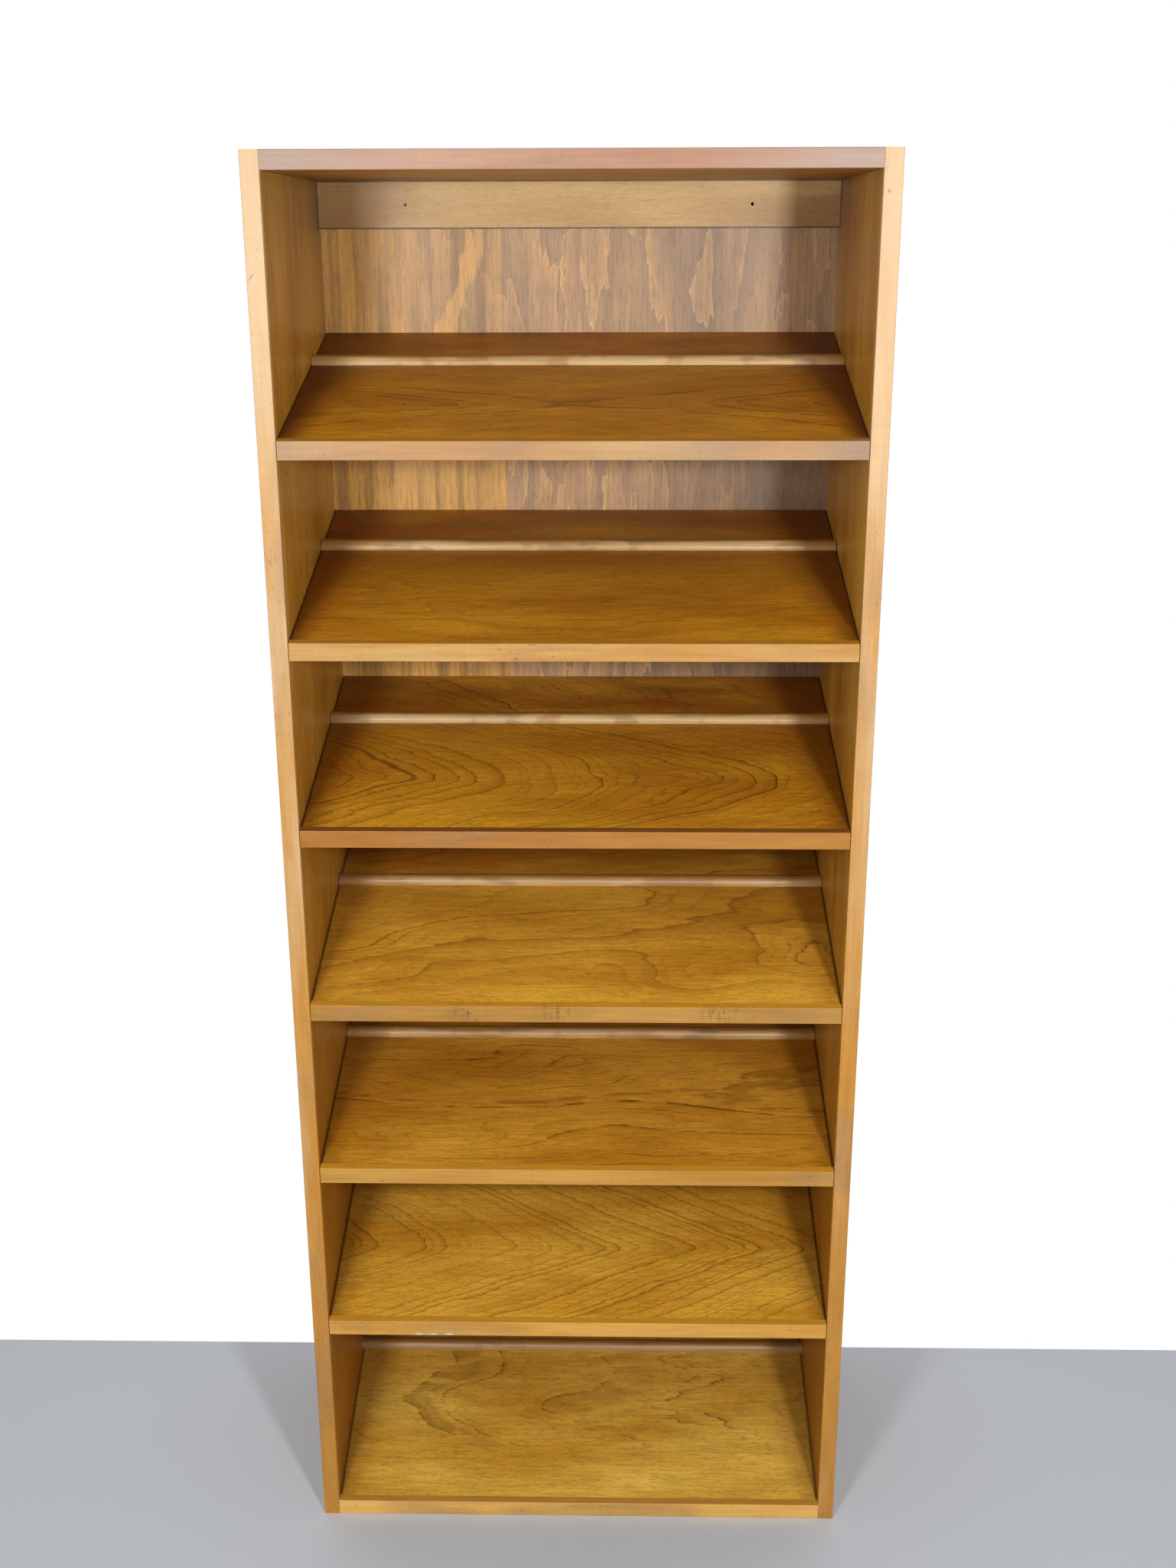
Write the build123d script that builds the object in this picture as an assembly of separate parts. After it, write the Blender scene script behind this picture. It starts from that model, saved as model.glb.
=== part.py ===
from build123d import *
from math import cos, radians, sin, tan
import os

# Bookcase with sloping adjustable shelves, in millimetres.
# The origin is on the floor in the middle of the footprint: +X right, +Y back, +Z up.

# Case
case_width = 640
case_height = 1612
case_depth = 340
side_thickness = 19
top_thickness = 19
back_thickness = 6
rabbet_width = 9.5
lipping_depth = 8
edge_easing = 0.8

# Shelves: heights are those of the front top edge
shelf_count = 6
lowest_shelf_height = 286
top_space = 258
shelf_thickness = 19
shelf_tilt = radians(15)
shelf_end_gap = 0.8
shelf_back_gap = 1

# Half-round stop bead across each shelf, set back along the slope
bead_setback = 229
bead_width = 19
bead_height = 9

# Hanging cleat under the top, and its wall screw holes
cleat_height = 52
cleat_thickness = 19
wall_hole_inset = 101
wall_hole_radius = 2.5

# Pins that carry the adjustable shelves, and the spare holes above and below them
pin_radius = 2.5
pin_rounding = 0.8
pin_seat = 10
pin_reach = 10
pin_play = 0.3
pin_front_margin = 50
pin_back_margin = 45
pin_hole_pitch = 32
spare_pin_holes = 1

# Dowels in the ends of the fixed boards
dowel_radius = 4
dowel_in_side = 11
dowel_in_board = 22
dowel_margin = 50
dowel_count = 3
cleat_dowel_radius = 3
cleat_dowel_spacing = 26

# Nails of the back panel
nail_radius = 0.8
nail_length = 25
nail_head_radius = 1.8
nail_head_height = 0.6
nail_margin = 60
side_nail_count = 10
edge_nail_count = 5

# Countersunk screws through the back panel into the cleat
screw_radius = 1.75
screw_length = 20
screw_head_radius = 3.5
screw_head_height = 2
screw_inset = 45
screw_count = 3

# Brads that hold the beads, set below the surface and filled over
brad_radius = 0.7
brad_length = 20
brad_set = 1.5
brad_margin = 45
brad_count = 5

# Radial clearance of a glued or driven fastener in its hole
fit_gap = 0.05

# Worked out from the sizes above
inner_half = case_width / 2 - side_thickness
front_y = -case_depth / 2
back_y = case_depth / 2
panel_y = back_y - back_thickness
top_underside = case_height - top_thickness
plumb_thickness = shelf_thickness / cos(shelf_tilt)
shelf_pitch = (top_underside - top_space - lowest_shelf_height) / (shelf_count - 1)
shelf_half = inner_half - shelf_end_gap
cleat_underside = top_underside - cleat_height
cleat_middle = top_underside - cleat_height / 2


def block(x_min, x_max, y_min, y_max, z_min, z_max):
    """A board given by its extents."""
    centre = Pos((x_min + x_max) / 2, (y_min + y_max) / 2, (z_min + z_max) / 2)
    return centre * Box(x_max - x_min, y_max - y_min, z_max - z_min)


def rod_along_x(radius, x_min, x_max, y, z):
    return Pos((x_min + x_max) / 2, y, z) * Rot(0, 90, 0) * Cylinder(radius, x_max - x_min)


def rod_along_y(radius, y_min, y_max, x, z):
    return Pos(x, (y_min + y_max) / 2, z) * Rot(90, 0, 0) * Cylinder(radius, y_max - y_min)


def spread(first, last, count):
    """Evenly spaced places from first to last."""
    return [first + (last - first) * step / (count - 1) for step in range(count)]


def shelf_surface(front_height, y):
    """Height of a shelf's upper face at a given depth."""
    return front_height + (y - front_y) * tan(shelf_tilt)


def slope_point(front_height, along, above):
    """The (y, z) of a point up the slope from a shelf's front top edge, and above its face."""
    y = front_y + along * cos(shelf_tilt) - above * sin(shelf_tilt)
    z = front_height + along * sin(shelf_tilt) + above * cos(shelf_tilt)
    return y, z


def slab(front_height, y_min, y_max, half_length):
    """A sloping board with its front and back edges cut plumb."""
    low = shelf_surface(front_height, y_min)
    high = shelf_surface(front_height, y_max)
    outline = Polyline(
        (y_min, low - plumb_thickness),
        (y_max, high - plumb_thickness),
        (y_max, high),
        (y_min, low),
        close=True,
    )
    return extrude(make_face(Plane.YZ * outline), amount=half_length, both=True)


def half_round(front_height, half_length):
    """The stop bead, a half-round moulding lying on the slope."""
    front = slope_point(front_height, bead_setback, 0)
    crown = slope_point(front_height, bead_setback + bead_width / 2, bead_height)
    back = slope_point(front_height, bead_setback + bead_width, 0)
    outline = Curve() + [ThreePointArc(front, crown, back), Line(back, front)]
    return extrude(make_face(Plane.YZ * outline), amount=half_length, both=True)


def bead_brads(front_height, half_length, radius):
    """Brads driven square to the slope through the bead into the board."""
    head = slope_point(front_height, bead_setback + bead_width / 2, bead_height - brad_set)
    brad = Cylinder(radius, brad_length, align=(Align.CENTER, Align.CENTER, Align.MAX))
    end = half_length - brad_margin
    return [
        Plane(origin=(x, *head), x_dir=(1, 0, 0), z_dir=(0, -sin(shelf_tilt), cos(shelf_tilt))) * brad
        for x in spread(-end, end, brad_count)
    ]


def ease_front(lipping, along):
    """Rounds the two front arrises of a lipping that runs along an axis."""
    arrises = lipping.edges().filter_by(along).group_by(Axis.Y)[0]
    return fillet(arrises, edge_easing)


def end_dowels(places, radius, side):
    """Dowels at one end of a board between the sides, at the given (y, z) places."""
    x_ends = sorted((side * (inner_half + dowel_in_side), side * (inner_half - dowel_in_board)))
    return [rod_along_x(radius, *x_ends, y, z) for y, z in places]


def back_nails(places, grow):
    """Nails driven from behind at the given (x, z) places."""
    nails = []
    for x, z in places:
        shank = rod_along_y(nail_radius + grow, back_y - nail_length, back_y, x, z)
        head = rod_along_y(nail_head_radius + grow, back_y - nail_head_height, back_y, x, z)
        nails.append(shank + head)
    return nails


def back_screws(places, grow):
    """Countersunk screws driven from behind at the given (x, z) places."""
    screws = []
    for x, z in places:
        shank = rod_along_y(screw_radius + grow, back_y - screw_length, back_y, x, z)
        cone = Cone(screw_head_radius + grow, screw_radius + grow, screw_head_height)
        head = Pos(x, back_y - screw_head_height / 2, z) * Rot(90, 0, 0) * cone
        screws.append(shank + head)
    return screws


def shelf_pieces(name, front_height, half_length, rear_y):
    """A shelf's board, front lipping, stop bead and brads, as named nodes."""
    board = slab(front_height, front_y + lipping_depth, rear_y, half_length)
    lipping = slab(front_height, front_y, front_y + lipping_depth, half_length)
    brad_holes = bead_brads(front_height, half_length, brad_radius + fit_gap)
    return {
        name: board - brad_holes,
        name + "_lipping": ease_front(lipping, Axis.X),
        name + "_bead": half_round(front_height, half_length) - brad_holes,
        name + "_bead_brads": Compound(bead_brads(front_height, half_length, brad_radius)),
    }


def pin_places(front_height):
    """The (y, z) of a shelf's front and back pins, half sunk in its underside."""
    depths = (front_y + pin_front_margin, panel_y - pin_back_margin)
    return [(y, shelf_surface(front_height, y) - plumb_thickness) for y in depths]


def pin(y, z, side):
    """A shelf pin standing out of one side, with its free end rounded."""
    x_ends = sorted((side * (inner_half + pin_seat), side * (inner_half - pin_reach)))
    rod = rod_along_x(pin_radius, *x_ends, y, z)
    free_end = rod.edges().sort_by(Axis.X)[0 if side > 0 else -1]
    return fillet(free_end, pin_rounding)


def pin_notch(y, z, side):
    """The slot in a shelf's underside that drops over a pin, open downwards."""
    x_ends = sorted((side * inner_half, side * (inner_half - pin_reach - pin_play)))
    radius = pin_radius + pin_play
    crown = rod_along_x(radius, *x_ends, y, z)
    return crown + block(*x_ends, y - radius, y + radius, z - shelf_thickness, z)


def pin_holes(front_height, side):
    """One side's holes for a shelf's pins, with the spare ones above and below."""
    x_ends = sorted((side * (inner_half + pin_seat), side * inner_half))
    steps = range(-spare_pin_holes, spare_pin_holes + 1)
    return [
        rod_along_x(pin_radius + fit_gap, *x_ends, y, z + step * pin_hole_pitch)
        for y, z in pin_places(front_height)
        for step in steps
    ]


# Where things stand
bottom_height = plumb_thickness
shelf_heights = [lowest_shelf_height + shelf_pitch * step for step in reversed(range(shelf_count))]

dowel_depths = spread(front_y + dowel_margin, panel_y - dowel_margin, dowel_count)
top_dowel_places = [(y, case_height - top_thickness / 2) for y in dowel_depths]
bottom_dowel_places = [
    (y, shelf_surface(bottom_height, y) - plumb_thickness / 2) for y in dowel_depths
]
cleat_dowel_places = [
    (panel_y - cleat_thickness / 2, cleat_middle + step * cleat_dowel_spacing / 2) for step in (-1, 1)
]

side_nail_x = inner_half + rabbet_width / 2
side_nail_heights = spread(nail_margin, cleat_underside - nail_margin, side_nail_count)
edge_nail_xs = spread(nail_margin - inner_half, inner_half - nail_margin, edge_nail_count)
bottom_back_height = shelf_surface(bottom_height, panel_y) - plumb_thickness / 2
side_nail_places = [(side * side_nail_x, z) for side in (-1, 1) for z in side_nail_heights]
top_nail_places = [(x, case_height - top_thickness / 2) for x in edge_nail_xs]
bottom_nail_places = [(x, bottom_back_height) for x in edge_nail_xs]
nail_places = side_nail_places + top_nail_places + bottom_nail_places

screw_xs = spread(screw_inset - inner_half, inner_half - screw_inset, screw_count)
screw_places = [(x, cleat_middle) for x in screw_xs]
wall_hole_x = inner_half - wall_hole_inset
wall_holes = [
    rod_along_y(wall_hole_radius, panel_y - cleat_thickness, back_y, side * wall_hole_x, cleat_middle)
    for side in (-1, 1)
]

nodes = {}

# Sides: upright boards, rabbeted for the back panel and bored for pins, dowels and nails
for name, side in (("left_side", -1), ("right_side", 1)):
    x_ends = sorted((side * inner_half, side * case_width / 2))
    rabbet_ends = sorted((side * inner_half, side * (inner_half + rabbet_width)))
    cuts = [block(*rabbet_ends, panel_y, back_y, 0, case_height)]
    cuts += end_dowels(top_dowel_places + bottom_dowel_places, dowel_radius + fit_gap, side)
    cuts += end_dowels(cleat_dowel_places, cleat_dowel_radius + fit_gap, side)
    cuts += back_nails([(side * side_nail_x, z) for z in side_nail_heights], fit_gap)
    for height in shelf_heights:
        cuts += pin_holes(height, side)
    nodes[name] = block(*x_ends, front_y + lipping_depth, back_y, 0, case_height) - cuts
    lipping = block(*x_ends, front_y, front_y + lipping_depth, 0, case_height)
    nodes[name + "_lipping"] = ease_front(lipping, Axis.Z)

# Top: a board butted between the sides, with its own lipping
top = block(-inner_half, inner_half, front_y + lipping_depth, panel_y, top_underside, case_height)
top_lipping = block(-inner_half, inner_half, front_y, front_y + lipping_depth, top_underside, case_height)
top_cuts = back_nails(top_nail_places, fit_gap)
for side in (-1, 1):
    top_cuts += end_dowels(top_dowel_places, dowel_radius + fit_gap, side)
nodes["top"] = top - top_cuts
nodes["top_lipping"] = ease_front(top_lipping, Axis.X)

# Back panel: thin sheet let into the sides, behind the top, the cleat and the bottom shelf
panel_half = inner_half + rabbet_width
panel = block(-panel_half, panel_half, panel_y, back_y, 0, case_height)
panel_cuts = back_nails(nail_places, fit_gap) + back_screws(screw_places, fit_gap) + wall_holes
nodes["back_panel"] = panel - panel_cuts

# Hanging cleat: a rail under the top, in front of the back panel
cleat = block(-inner_half, inner_half, panel_y - cleat_thickness, panel_y, cleat_underside, top_underside)
cleat_cuts = back_screws(screw_places, fit_gap) + wall_holes
for side in (-1, 1):
    cleat_cuts += end_dowels(cleat_dowel_places, cleat_dowel_radius + fit_gap, side)
nodes["hanging_cleat"] = cleat - cleat_cuts

# Bottom shelf: fixed between the sides, its front edge on the floor
nodes.update(shelf_pieces("bottom_shelf", bottom_height, inner_half, panel_y))
bottom_cuts = back_nails(bottom_nail_places, fit_gap)
for side in (-1, 1):
    bottom_cuts += end_dowels(bottom_dowel_places, dowel_radius + fit_gap, side)
nodes["bottom_shelf"] -= bottom_cuts

# Adjustable shelves, counted from the top, each with the four pins that it rests on
for number, height in enumerate(shelf_heights, start=1):
    name = f"shelf_{number}"
    places = [(y, z, side) for y, z in pin_places(height) for side in (-1, 1)]
    nodes.update(shelf_pieces(name, height, shelf_half, panel_y - shelf_back_gap))
    nodes[name] -= [pin_notch(*place) for place in places]
    nodes[name + "_pins"] = Compound([pin(*place) for place in places])

# Dowels, nails and screws of the case
nodes["top_dowels"] = Compound(
    [dowel for side in (-1, 1) for dowel in end_dowels(top_dowel_places, dowel_radius, side)]
)
nodes["bottom_shelf_dowels"] = Compound(
    [dowel for side in (-1, 1) for dowel in end_dowels(bottom_dowel_places, dowel_radius, side)]
)
nodes["cleat_dowels"] = Compound(
    [dowel for side in (-1, 1) for dowel in end_dowels(cleat_dowel_places, cleat_dowel_radius, side)]
)
nodes["back_panel_nails"] = Compound(back_nails(nail_places, 0))
nodes["cleat_screws"] = Compound(back_screws(screw_places, 0))

os.makedirs("parts", exist_ok=True)
for name, shape in nodes.items():
    export_step(shape, f"parts/{name}.step")
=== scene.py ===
import math

import bpy
from mathutils import Color, Matrix, Vector


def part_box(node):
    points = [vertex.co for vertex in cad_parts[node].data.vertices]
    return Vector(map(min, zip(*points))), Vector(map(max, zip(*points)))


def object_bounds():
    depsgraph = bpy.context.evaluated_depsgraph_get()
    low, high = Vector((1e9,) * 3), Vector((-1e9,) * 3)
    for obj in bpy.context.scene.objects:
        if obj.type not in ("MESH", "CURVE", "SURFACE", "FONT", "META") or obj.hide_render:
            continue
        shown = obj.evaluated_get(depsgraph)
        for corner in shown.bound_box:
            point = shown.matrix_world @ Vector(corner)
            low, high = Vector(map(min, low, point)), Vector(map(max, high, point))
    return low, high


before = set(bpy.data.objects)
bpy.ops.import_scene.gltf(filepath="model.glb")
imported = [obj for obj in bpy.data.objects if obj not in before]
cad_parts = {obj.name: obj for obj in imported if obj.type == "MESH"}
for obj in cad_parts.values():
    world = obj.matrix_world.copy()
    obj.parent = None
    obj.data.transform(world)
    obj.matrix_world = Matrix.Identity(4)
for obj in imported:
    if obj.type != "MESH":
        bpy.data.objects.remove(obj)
cad_low, cad_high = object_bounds()


# The two sides: upright boards of stained birch plywood that stand on the floor and carry the rest on
# dowels and pins. The face grain runs up the board, and the bare back edge shows the plies.

NOISE_MIDDLE = 0.5
NOISE_SWING = (0.3, 0.7)


class Tone:
    """A socket in the node tree of a finish. Arithmetic on it adds the Math nodes that work it out."""

    def __init__(self, socket):
        self.socket = socket

    def node(self, kind, settings, sockets, output=0):
        """Adds a node of this kind: its settings first, then its sockets' values or links."""
        tree = self.socket.id_data
        made = tree.nodes.new("ShaderNode" + kind)
        for name, setting in settings.items():
            if name == "stops":
                ramp = made.color_ramp.elements
                for place, _ in setting[len(ramp):]:
                    ramp.new(place)
                for step, (place, grey) in zip(ramp, setting):
                    step.position = place
                    step.color = (grey, grey, grey, 1.0)
            else:
                setattr(made, name, setting)
        for name, value in sockets.items():
            if isinstance(value, Tone):
                tree.links.new(value.socket, made.inputs[name])
            else:
                made.inputs[name].default_value = value
        return Tone(made.outputs[output])

    def math(self, operation, *others):
        """Adds a Math node that does this operation on the socket and the others, in that order."""
        return self.node("Math", {"operation": operation}, dict(enumerate((self, *others))))

    def __add__(self, other):
        return self.math("ADD", other)

    def __sub__(self, other):
        return self.math("SUBTRACT", other)

    def __rsub__(self, other):
        return self * -1.0 + other

    def __mul__(self, other):
        return self.math("MULTIPLY", other)

    def __truediv__(self, other):
        return self.math("DIVIDE", other)

    def __pow__(self, other):
        return self.math("POWER", other)

    __radd__ = __add__
    __rmul__ = __mul__

    def step(self, low, high):
        """0 below low and 1 above high, with a smooth rise between. Low may be the greater, for a fall."""
        limits = {"Value": self, "From Min": low, "From Max": high}
        return self.node("MapRange", {"interpolation_type": "SMOOTHSTEP"}, limits)

    def between(self, low, high):
        """Low where the socket is 0 and high where it is 1, in a straight line."""
        return low + self * (high - low)

    def spread(self):
        """A noise about 0.5, spread over its usual swing to run from 0 to 1."""
        return self.step(*NOISE_SWING)

    def sway(self):
        """A noise about 0.5, moved to swing about 0."""
        return self - NOISE_MIDDLE


SCREEN_WHITE = 255


def stain(red, green, blue):
    """A colour written in the 0 to 255 that a screen shows, as the linear colour that a finish takes."""
    shown = Color([level / SCREEN_WHITE for level in (red, green, blue)])
    return (*shown.from_srgb_to_scene_linear(), 1.0)


# A Mix node's sockets for colours share their names with others, so they go by number.
MIX_SHARE = 0
MIX_UNDER = 6
MIX_OVER = 7
MIX_COLOUR = 2


def blend(share, under, over):
    """The colour under, with the colour over laid on by that share."""
    sockets = {MIX_SHARE: share, MIX_UNDER: under, MIX_OVER: over}
    return share.node("Mix", {"data_type": "RGBA"}, sockets, MIX_COLOUR)


def tint(colour, level):
    """The colour made lighter or darker all through by that level."""
    settings = {"data_type": "RGBA", "blend_type": "MULTIPLY"}
    sockets = {MIX_SHARE: 1.0, MIX_UNDER: colour, MIX_OVER: level}
    return level.node("Mix", settings, sockets, MIX_COLOUR)


def new_finish(name):
    """A material of that name and the spot being finished, in metres in the frame of the part."""
    finish = bpy.data.materials.new(name)
    finish.use_nodes = True
    return finish, Tone(finish.node_tree.nodes.new("ShaderNodeTexCoord").outputs["Object"])


def axes(spot):
    """The spot's x, y and z."""
    return tuple(spot.node("SeparateXYZ", {}, {"Vector": spot}, axis) for axis in "XYZ")


def facing(spot):
    """How far the face at a spot looks along x, y and z, each from -1 to 1."""
    return axes(spot.node("TexCoord", {}, {}, "Normal"))


SEED_SHIFT = (1.0, 1.7, 2.3)
LAYER_SEED_STEP = 3.0


def mottle(spot, rates, seed, detail=2.0):
    """Smooth noise about 0.5, with that many swings to the metre along x, y and z."""
    place = tuple(seed * share for share in SEED_SHIFT)
    spread = spot.node("Mapping", {}, {"Vector": spot, "Location": place, "Scale": rates})
    return spot.node("TexNoise", {}, {"Vector": spread, "Scale": 1.0, "Detail": detail}, "Fac")


def layers(spot, axis, grain, seed):
    """The grain's noises in turn, each from its swings to the metre along the axis, its swings to the
    metre across it, and its detail.
    """
    noises = []
    for place, (long, fine, detail) in enumerate(grain.values()):
        rates = tuple(long if letter == axis else fine for letter in "xyz")
        noises.append(mottle(spot, rates, seed + LAYER_SEED_STEP * place, detail))
    return noises


GRAIN_DEPTH = 0.00012


def varnish(finish, colour, fibre, satin):
    """Lays the colour under a satin varnish, with the fibres in slight relief.

    The satin is the varnish's roughness where the noise of the fibres is 0 and where it is 1.
    """
    shader = finish.node_tree.nodes["Principled BSDF"]
    bump = fibre.node("Bump", {}, {"Height": fibre, "Distance": GRAIN_DEPTH, "Strength": 1.0})
    links = finish.node_tree.links
    links.new(colour.socket, shader.inputs["Base Color"])
    links.new(fibre.between(*satin).socket, shader.inputs["Roughness"])
    links.new(bump.socket, shader.inputs["Normal"])
    return finish


def dress(finish, *names):
    """Puts the finish on these CAD nodes."""
    for name in names:
        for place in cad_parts[name].material_slots:
            place.material = finish


RING_DRIFT = 0.4
RING_UNEVENNESS = 3.5
RING_STOPS = ((0.0, 0.0), (0.55, 0.05), (0.84, 0.32), (0.94, 1.0), (1.0, 0.05))
FAINTEST_RING = 0.5
STRONGER_RING = 0.75


def rings(rise, seed, rarity=2.0):
    """How dark each growth ring is: it darkens slowly to a crisp line. The rings are wide and narrow by
    turns, and the greater the rarity the fewer are strong.
    """
    season = {"W": rise * RING_DRIFT + seed, "Scale": 1.0, "Detail": 1.0}
    years = rise.node("TexNoise", {"noise_dimensions": "1D"}, season, "Fac")
    rise = rise + years * RING_UNEVENNESS
    line = rise.node("ValToRGB", {"stops": RING_STOPS}, {"Fac": rise.math("FRACT")})
    ring = rise.math("FLOOR") + seed
    weight = ring.node("TexWhiteNoise", {"noise_dimensions": "1D"}, {"W": ring}, "Value")
    return line * (FAINTEST_RING / rarity + STRONGER_RING * weight ** rarity)


FIBRE_LIGHT = (0.92, 1.16)
FLECK_EDGE = (0.5, 0.62)
FLECK_DARK = 0.2


def streaks(fibre, flecks):
    """How light the wood is at a spot, about 1: long fibres, and short dark pores among them."""
    return fibre.spread().between(*FIBRE_LIGHT) - flecks.step(*FLECK_EDGE) * FLECK_DARK


PLY_BLUR = 0.4


def plies(through, thickness, count):
    """Dark and pale by turns through the thickness of a plywood edge, as a sine wave with steep sides."""
    return (through * (count * math.pi / thickness)).math("SINE").step(-PLY_BLUR, PLY_BLUR)


SIDE_PALE = stain(214, 164, 62)
SIDE_DEEP = stain(184, 128, 38)
SIDE_FOOT = stain(158, 92, 12)
SIDE_LINE = stain(112, 64, 16)
SIDE_CORNER_SHADE = stain(92, 58, 30)
PLY_PALE = stain(206, 170, 116)
PLY_DARK = stain(150, 108, 62)
SIDE_GRAIN = {
    "wander": (1.3, 7.0, 2.0),
    "ragged": (14.0, 90.0, 2.0),
    "fibre": (9.0, 240.0, 5.0),
    "flecks": (45.0, 420.0, 2.0),
    "cloud": (3.0, 14.0, 3.0),
}
SIDE_SATIN = (0.3, 0.5)
SIDE_RINGS = 46.0
SIDE_WANDER = 9.0
SIDE_RAGGED = 0.5
SIDE_CONTRAST = 0.6
SIDE_PLIES = 7
FOOT_HEIGHTS = (1.3, 0.1)
FOOT_SHARE = 0.85
CORNER_SHADE_HEIGHTS = (1.44, 1.6)
CORNER_SHADE_DEPTHS = (-0.04, 0.14)
CORNER_SHADE_SHARES = (0.18, 0.68)
LOOKS_ALONG = (0.4, 0.6)


def side_finish(side, inward, seed):
    """Upright grain: long soft rings wandering up the board, fibres, and plies on the bare edges.

    The stain is deeper and redder towards the foot. On the face that looks inward along x, the corner
    under the top is darker, and more so to the back: painted shade.
    """
    low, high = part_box(side)
    finish, spot = new_finish(side + "_stain")
    x, y, z = axes(spot)
    wander, ragged, fibre, flecks, cloud = layers(spot, "z", SIDE_GRAIN, seed)
    rise = y * SIDE_RINGS + wander * SIDE_WANDER + ragged * SIDE_RAGGED
    face = blend(cloud.spread(), SIDE_PALE, SIDE_DEEP)
    face = blend(z.step(*FOOT_HEIGHTS) * FOOT_SHARE, face, SIDE_FOOT)
    face = blend(rings(rise, seed) * SIDE_CONTRAST, face, SIDE_LINE)
    across = facing(spot)[0]
    # Painted shade in the corner under the top, deepest at the back, on the inward face only.
    corner = (across * inward).step(*LOOKS_ALONG) * z.step(*CORNER_SHADE_HEIGHTS)
    face = blend(corner * y.step(*CORNER_SHADE_DEPTHS).between(*CORNER_SHADE_SHARES), face, SIDE_CORNER_SHADE)
    edge = blend(plies(x - low.x, high.x - low.x, SIDE_PLIES), PLY_PALE, PLY_DARK)
    colour = blend(across.math("ABSOLUTE").step(*LOOKS_ALONG), edge, face)
    colour = tint(colour, streaks(fibre, flecks))
    return varnish(finish, colour, fibre, SIDE_SATIN)


dress(side_finish("left_side", inward=1.0, seed=11.0), "left_side")
dress(side_finish("right_side", inward=-1.0, seed=23.0), "right_side")


# The lippings: strips of solid birch glued to the front edges of the boards to hide the plies.
# They are planed flush, eased on the arrises and stained paler than the faces.

LIP_GREY = stain(164, 124, 84)
LIP_SPECK = stain(104, 70, 36)
LIP_GRAIN = {
    "fibre": (14.0, 240.0, 4.0),
    "cloud": (5.0, 30.0, 3.0),
    "smudge": (6.0, 14.0, 2.0),
    "ticks": (240.0, 40.0, 3.0),
    "specks": (130.0, 420.0, 2.0),
}
LIP_SATIN = (0.34, 0.5)
SHIFTED_CLOUDS = 0.5
SMUDGE_EDGE = (0.52, 0.7)
SMUDGE_SHARE = 0.4
SPECK_EDGE = (0.64, 0.72)
SPECK_SMUDGES = (0.4, 0.6)
SPECK_SHARE = 0.4
CAP_TILT = (0.6, 0.9)
LIP_FIBRES = (0.86, 1.0)
LIP_TICKS = 0.14


def lipping_finish(name, axis, tones, seed, cap=None, shift=None, marks=None):
    """Straight fine grain along the strip, planer ticks across it, smudges and specks of uneven stain.

    The cap, where there is one, is the colour of the strip's upper face, stained with the board.
    The shift is a share of the second tone that a height on the strip adds to the clouds of it.
    The marks are a colour and the share of it that wear has left at a place.
    """
    pale, deep = tones
    finish, spot = new_finish(name)
    x, _, z = axes(spot)
    fibre, cloud, smudge, ticks, specks = layers(spot, axis, LIP_GRAIN, seed)
    share = cloud.spread()
    if shift:
        share = (share * SHIFTED_CLOUDS + shift(z)).step(0.0, 1.0)
    colour = blend(share, pale, deep)
    colour = blend(smudge.step(*SMUDGE_EDGE) * SMUDGE_SHARE, colour, LIP_GREY)
    specked = specks.step(*SPECK_EDGE) * smudge.step(*SPECK_SMUDGES) * SPECK_SHARE
    colour = blend(specked, colour, LIP_SPECK)
    if cap:
        colour = blend(facing(spot)[2].step(*CAP_TILT), colour, cap)
    colour = tint(colour, fibre.spread().between(*LIP_FIBRES) + ticks * LIP_TICKS)
    if marks:
        worn, share_of = marks
        colour = blend(share_of(x, z, specks, ticks), colour, worn)
    return varnish(finish, colour, fibre, LIP_SATIN)


def swell(across, along, centre, size, height):
    """A rounded rise about a centre, of that size both ways and that height, as a bell curve."""
    wide = ((across - centre[0]) / size[0]) ** 2.0
    deep = ((along - centre[1]) / size[1]) ** 2.0
    return ((wide + deep) * -1.0).math("EXPONENT") * height


SIDE_LIP = (stain(216, 176, 124), stain(202, 139, 48))
# Painted light: the side lippings are painted paler towards the top.
TOP_LIGHT_HEIGHTS = (1.8, 0.0)
TOP_LIGHT_SHARES = (-0.15, 0.7)
NICK = stain(70, 44, 22)
NICK_SHARE = 0.8
SCRATCH_PLACE = (-0.3155, 1.494)
SCRATCH_SIZE = (0.0008, 0.003)
SCRATCH_LEAN = 0.8
DENT_SIZE = (0.0013, 0.0013)
SIDE_DENT_PLACE = (0.307, 1.572)


def painted_top_light(z):
    """The side lippings are paler towards the top and deeper towards the foot: painted light, brightest
    high up.
    """
    return z.step(*TOP_LIGHT_HEIGHTS).between(*TOP_LIGHT_SHARES)


def left_nicks(x, z, specks, ticks):
    """A short slanting scratch on the outer arris of the left side, near its top."""
    upright = x - (z - SCRATCH_PLACE[1]) * SCRATCH_LEAN
    return swell(upright, z, SCRATCH_PLACE, SCRATCH_SIZE, NICK_SHARE)


def right_nicks(x, z, specks, ticks):
    """A small dent on the right side, near its top."""
    return swell(x, z, SIDE_DENT_PLACE, DENT_SIZE, NICK_SHARE)


left_lip = lipping_finish(
    "left_lipping_stain", "z", SIDE_LIP, seed=31.0, shift=painted_top_light, marks=(NICK, left_nicks)
)
dress(left_lip, "left_side_lipping")
right_lip = lipping_finish(
    "right_lipping_stain", "z", SIDE_LIP, seed=37.0, shift=painted_top_light, marks=(NICK, right_nicks)
)
dress(right_lip, "right_side_lipping")


# The top: a plywood board held between the sides on dowels, with its own lipping in front.
# Its lipping took the stain pinker and greyer than the rest.

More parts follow.
